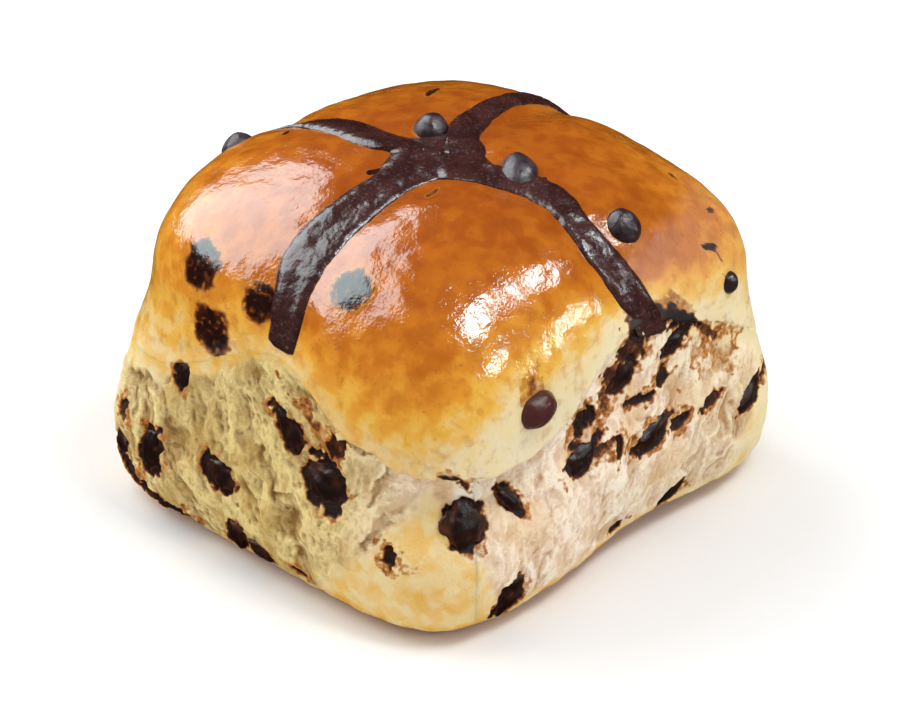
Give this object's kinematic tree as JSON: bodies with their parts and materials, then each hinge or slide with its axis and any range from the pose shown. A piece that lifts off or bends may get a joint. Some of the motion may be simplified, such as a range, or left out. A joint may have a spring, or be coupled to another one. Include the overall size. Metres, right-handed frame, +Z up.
{
  "type": "hot cross bun",
  "caption": "Domed, rounded-square sweet bun torn from its batch, with a piped chocolate cross over the crust and chocolate chips in the crust and in the torn sides.",
  "frame": {"origin": "middle of the flat base that the bun stands on", "axes": "+Z up through the crown; +X along the bun's longer side; the cross's arms lie about 5 degrees round from X and Y"},
  "size_m": [0.0845, 0.0775, 0.0553],
  "materials": {
    "crust": "baked golden brown crust with a thin sugar glaze",
    "crumb": "soft torn bread crumb, matt",
    "piping": "baked chocolate paste, matt to satin",
    "chocolate": "dark chocolate chip, satin"
  },
  "bodies": {
    "root": {"bun": "crust", "cross": "piping", "chip_01": "chocolate", "chip_02": "chocolate", "chip_03": "chocolate", "chip_04": "chocolate", "chip_05": "chocolate", "chip_06": "chocolate", "chip_07": "chocolate", "chip_08": "chocolate", "chip_09": "chocolate", "chip_10": "chocolate", "chip_11": "chocolate", "chip_12": "chocolate", "chip_13": "chocolate", "chip_14": "chocolate", "chip_15": "chocolate", "chip_16": "chocolate", "chip_17": "chocolate", "chip_18": "chocolate", "chip_19": "chocolate", "chip_20": "chocolate", "chip_21": "chocolate", "chip_22": "chocolate", "chip_23": "chocolate", "chip_24": "chocolate", "chip_25": "chocolate", "chip_26": "chocolate", "chip_27": "chocolate", "chip_28": "chocolate", "chip_29": "chocolate", "chip_30": "chocolate", "chip_31": "chocolate", "chip_32": "chocolate", "chip_33": "chocolate", "chip_34": "chocolate", "chip_35": "chocolate", "chip_36": "chocolate", "chip_37": "chocolate", "chip_38": "chocolate"}
  },
  "joints": []
}
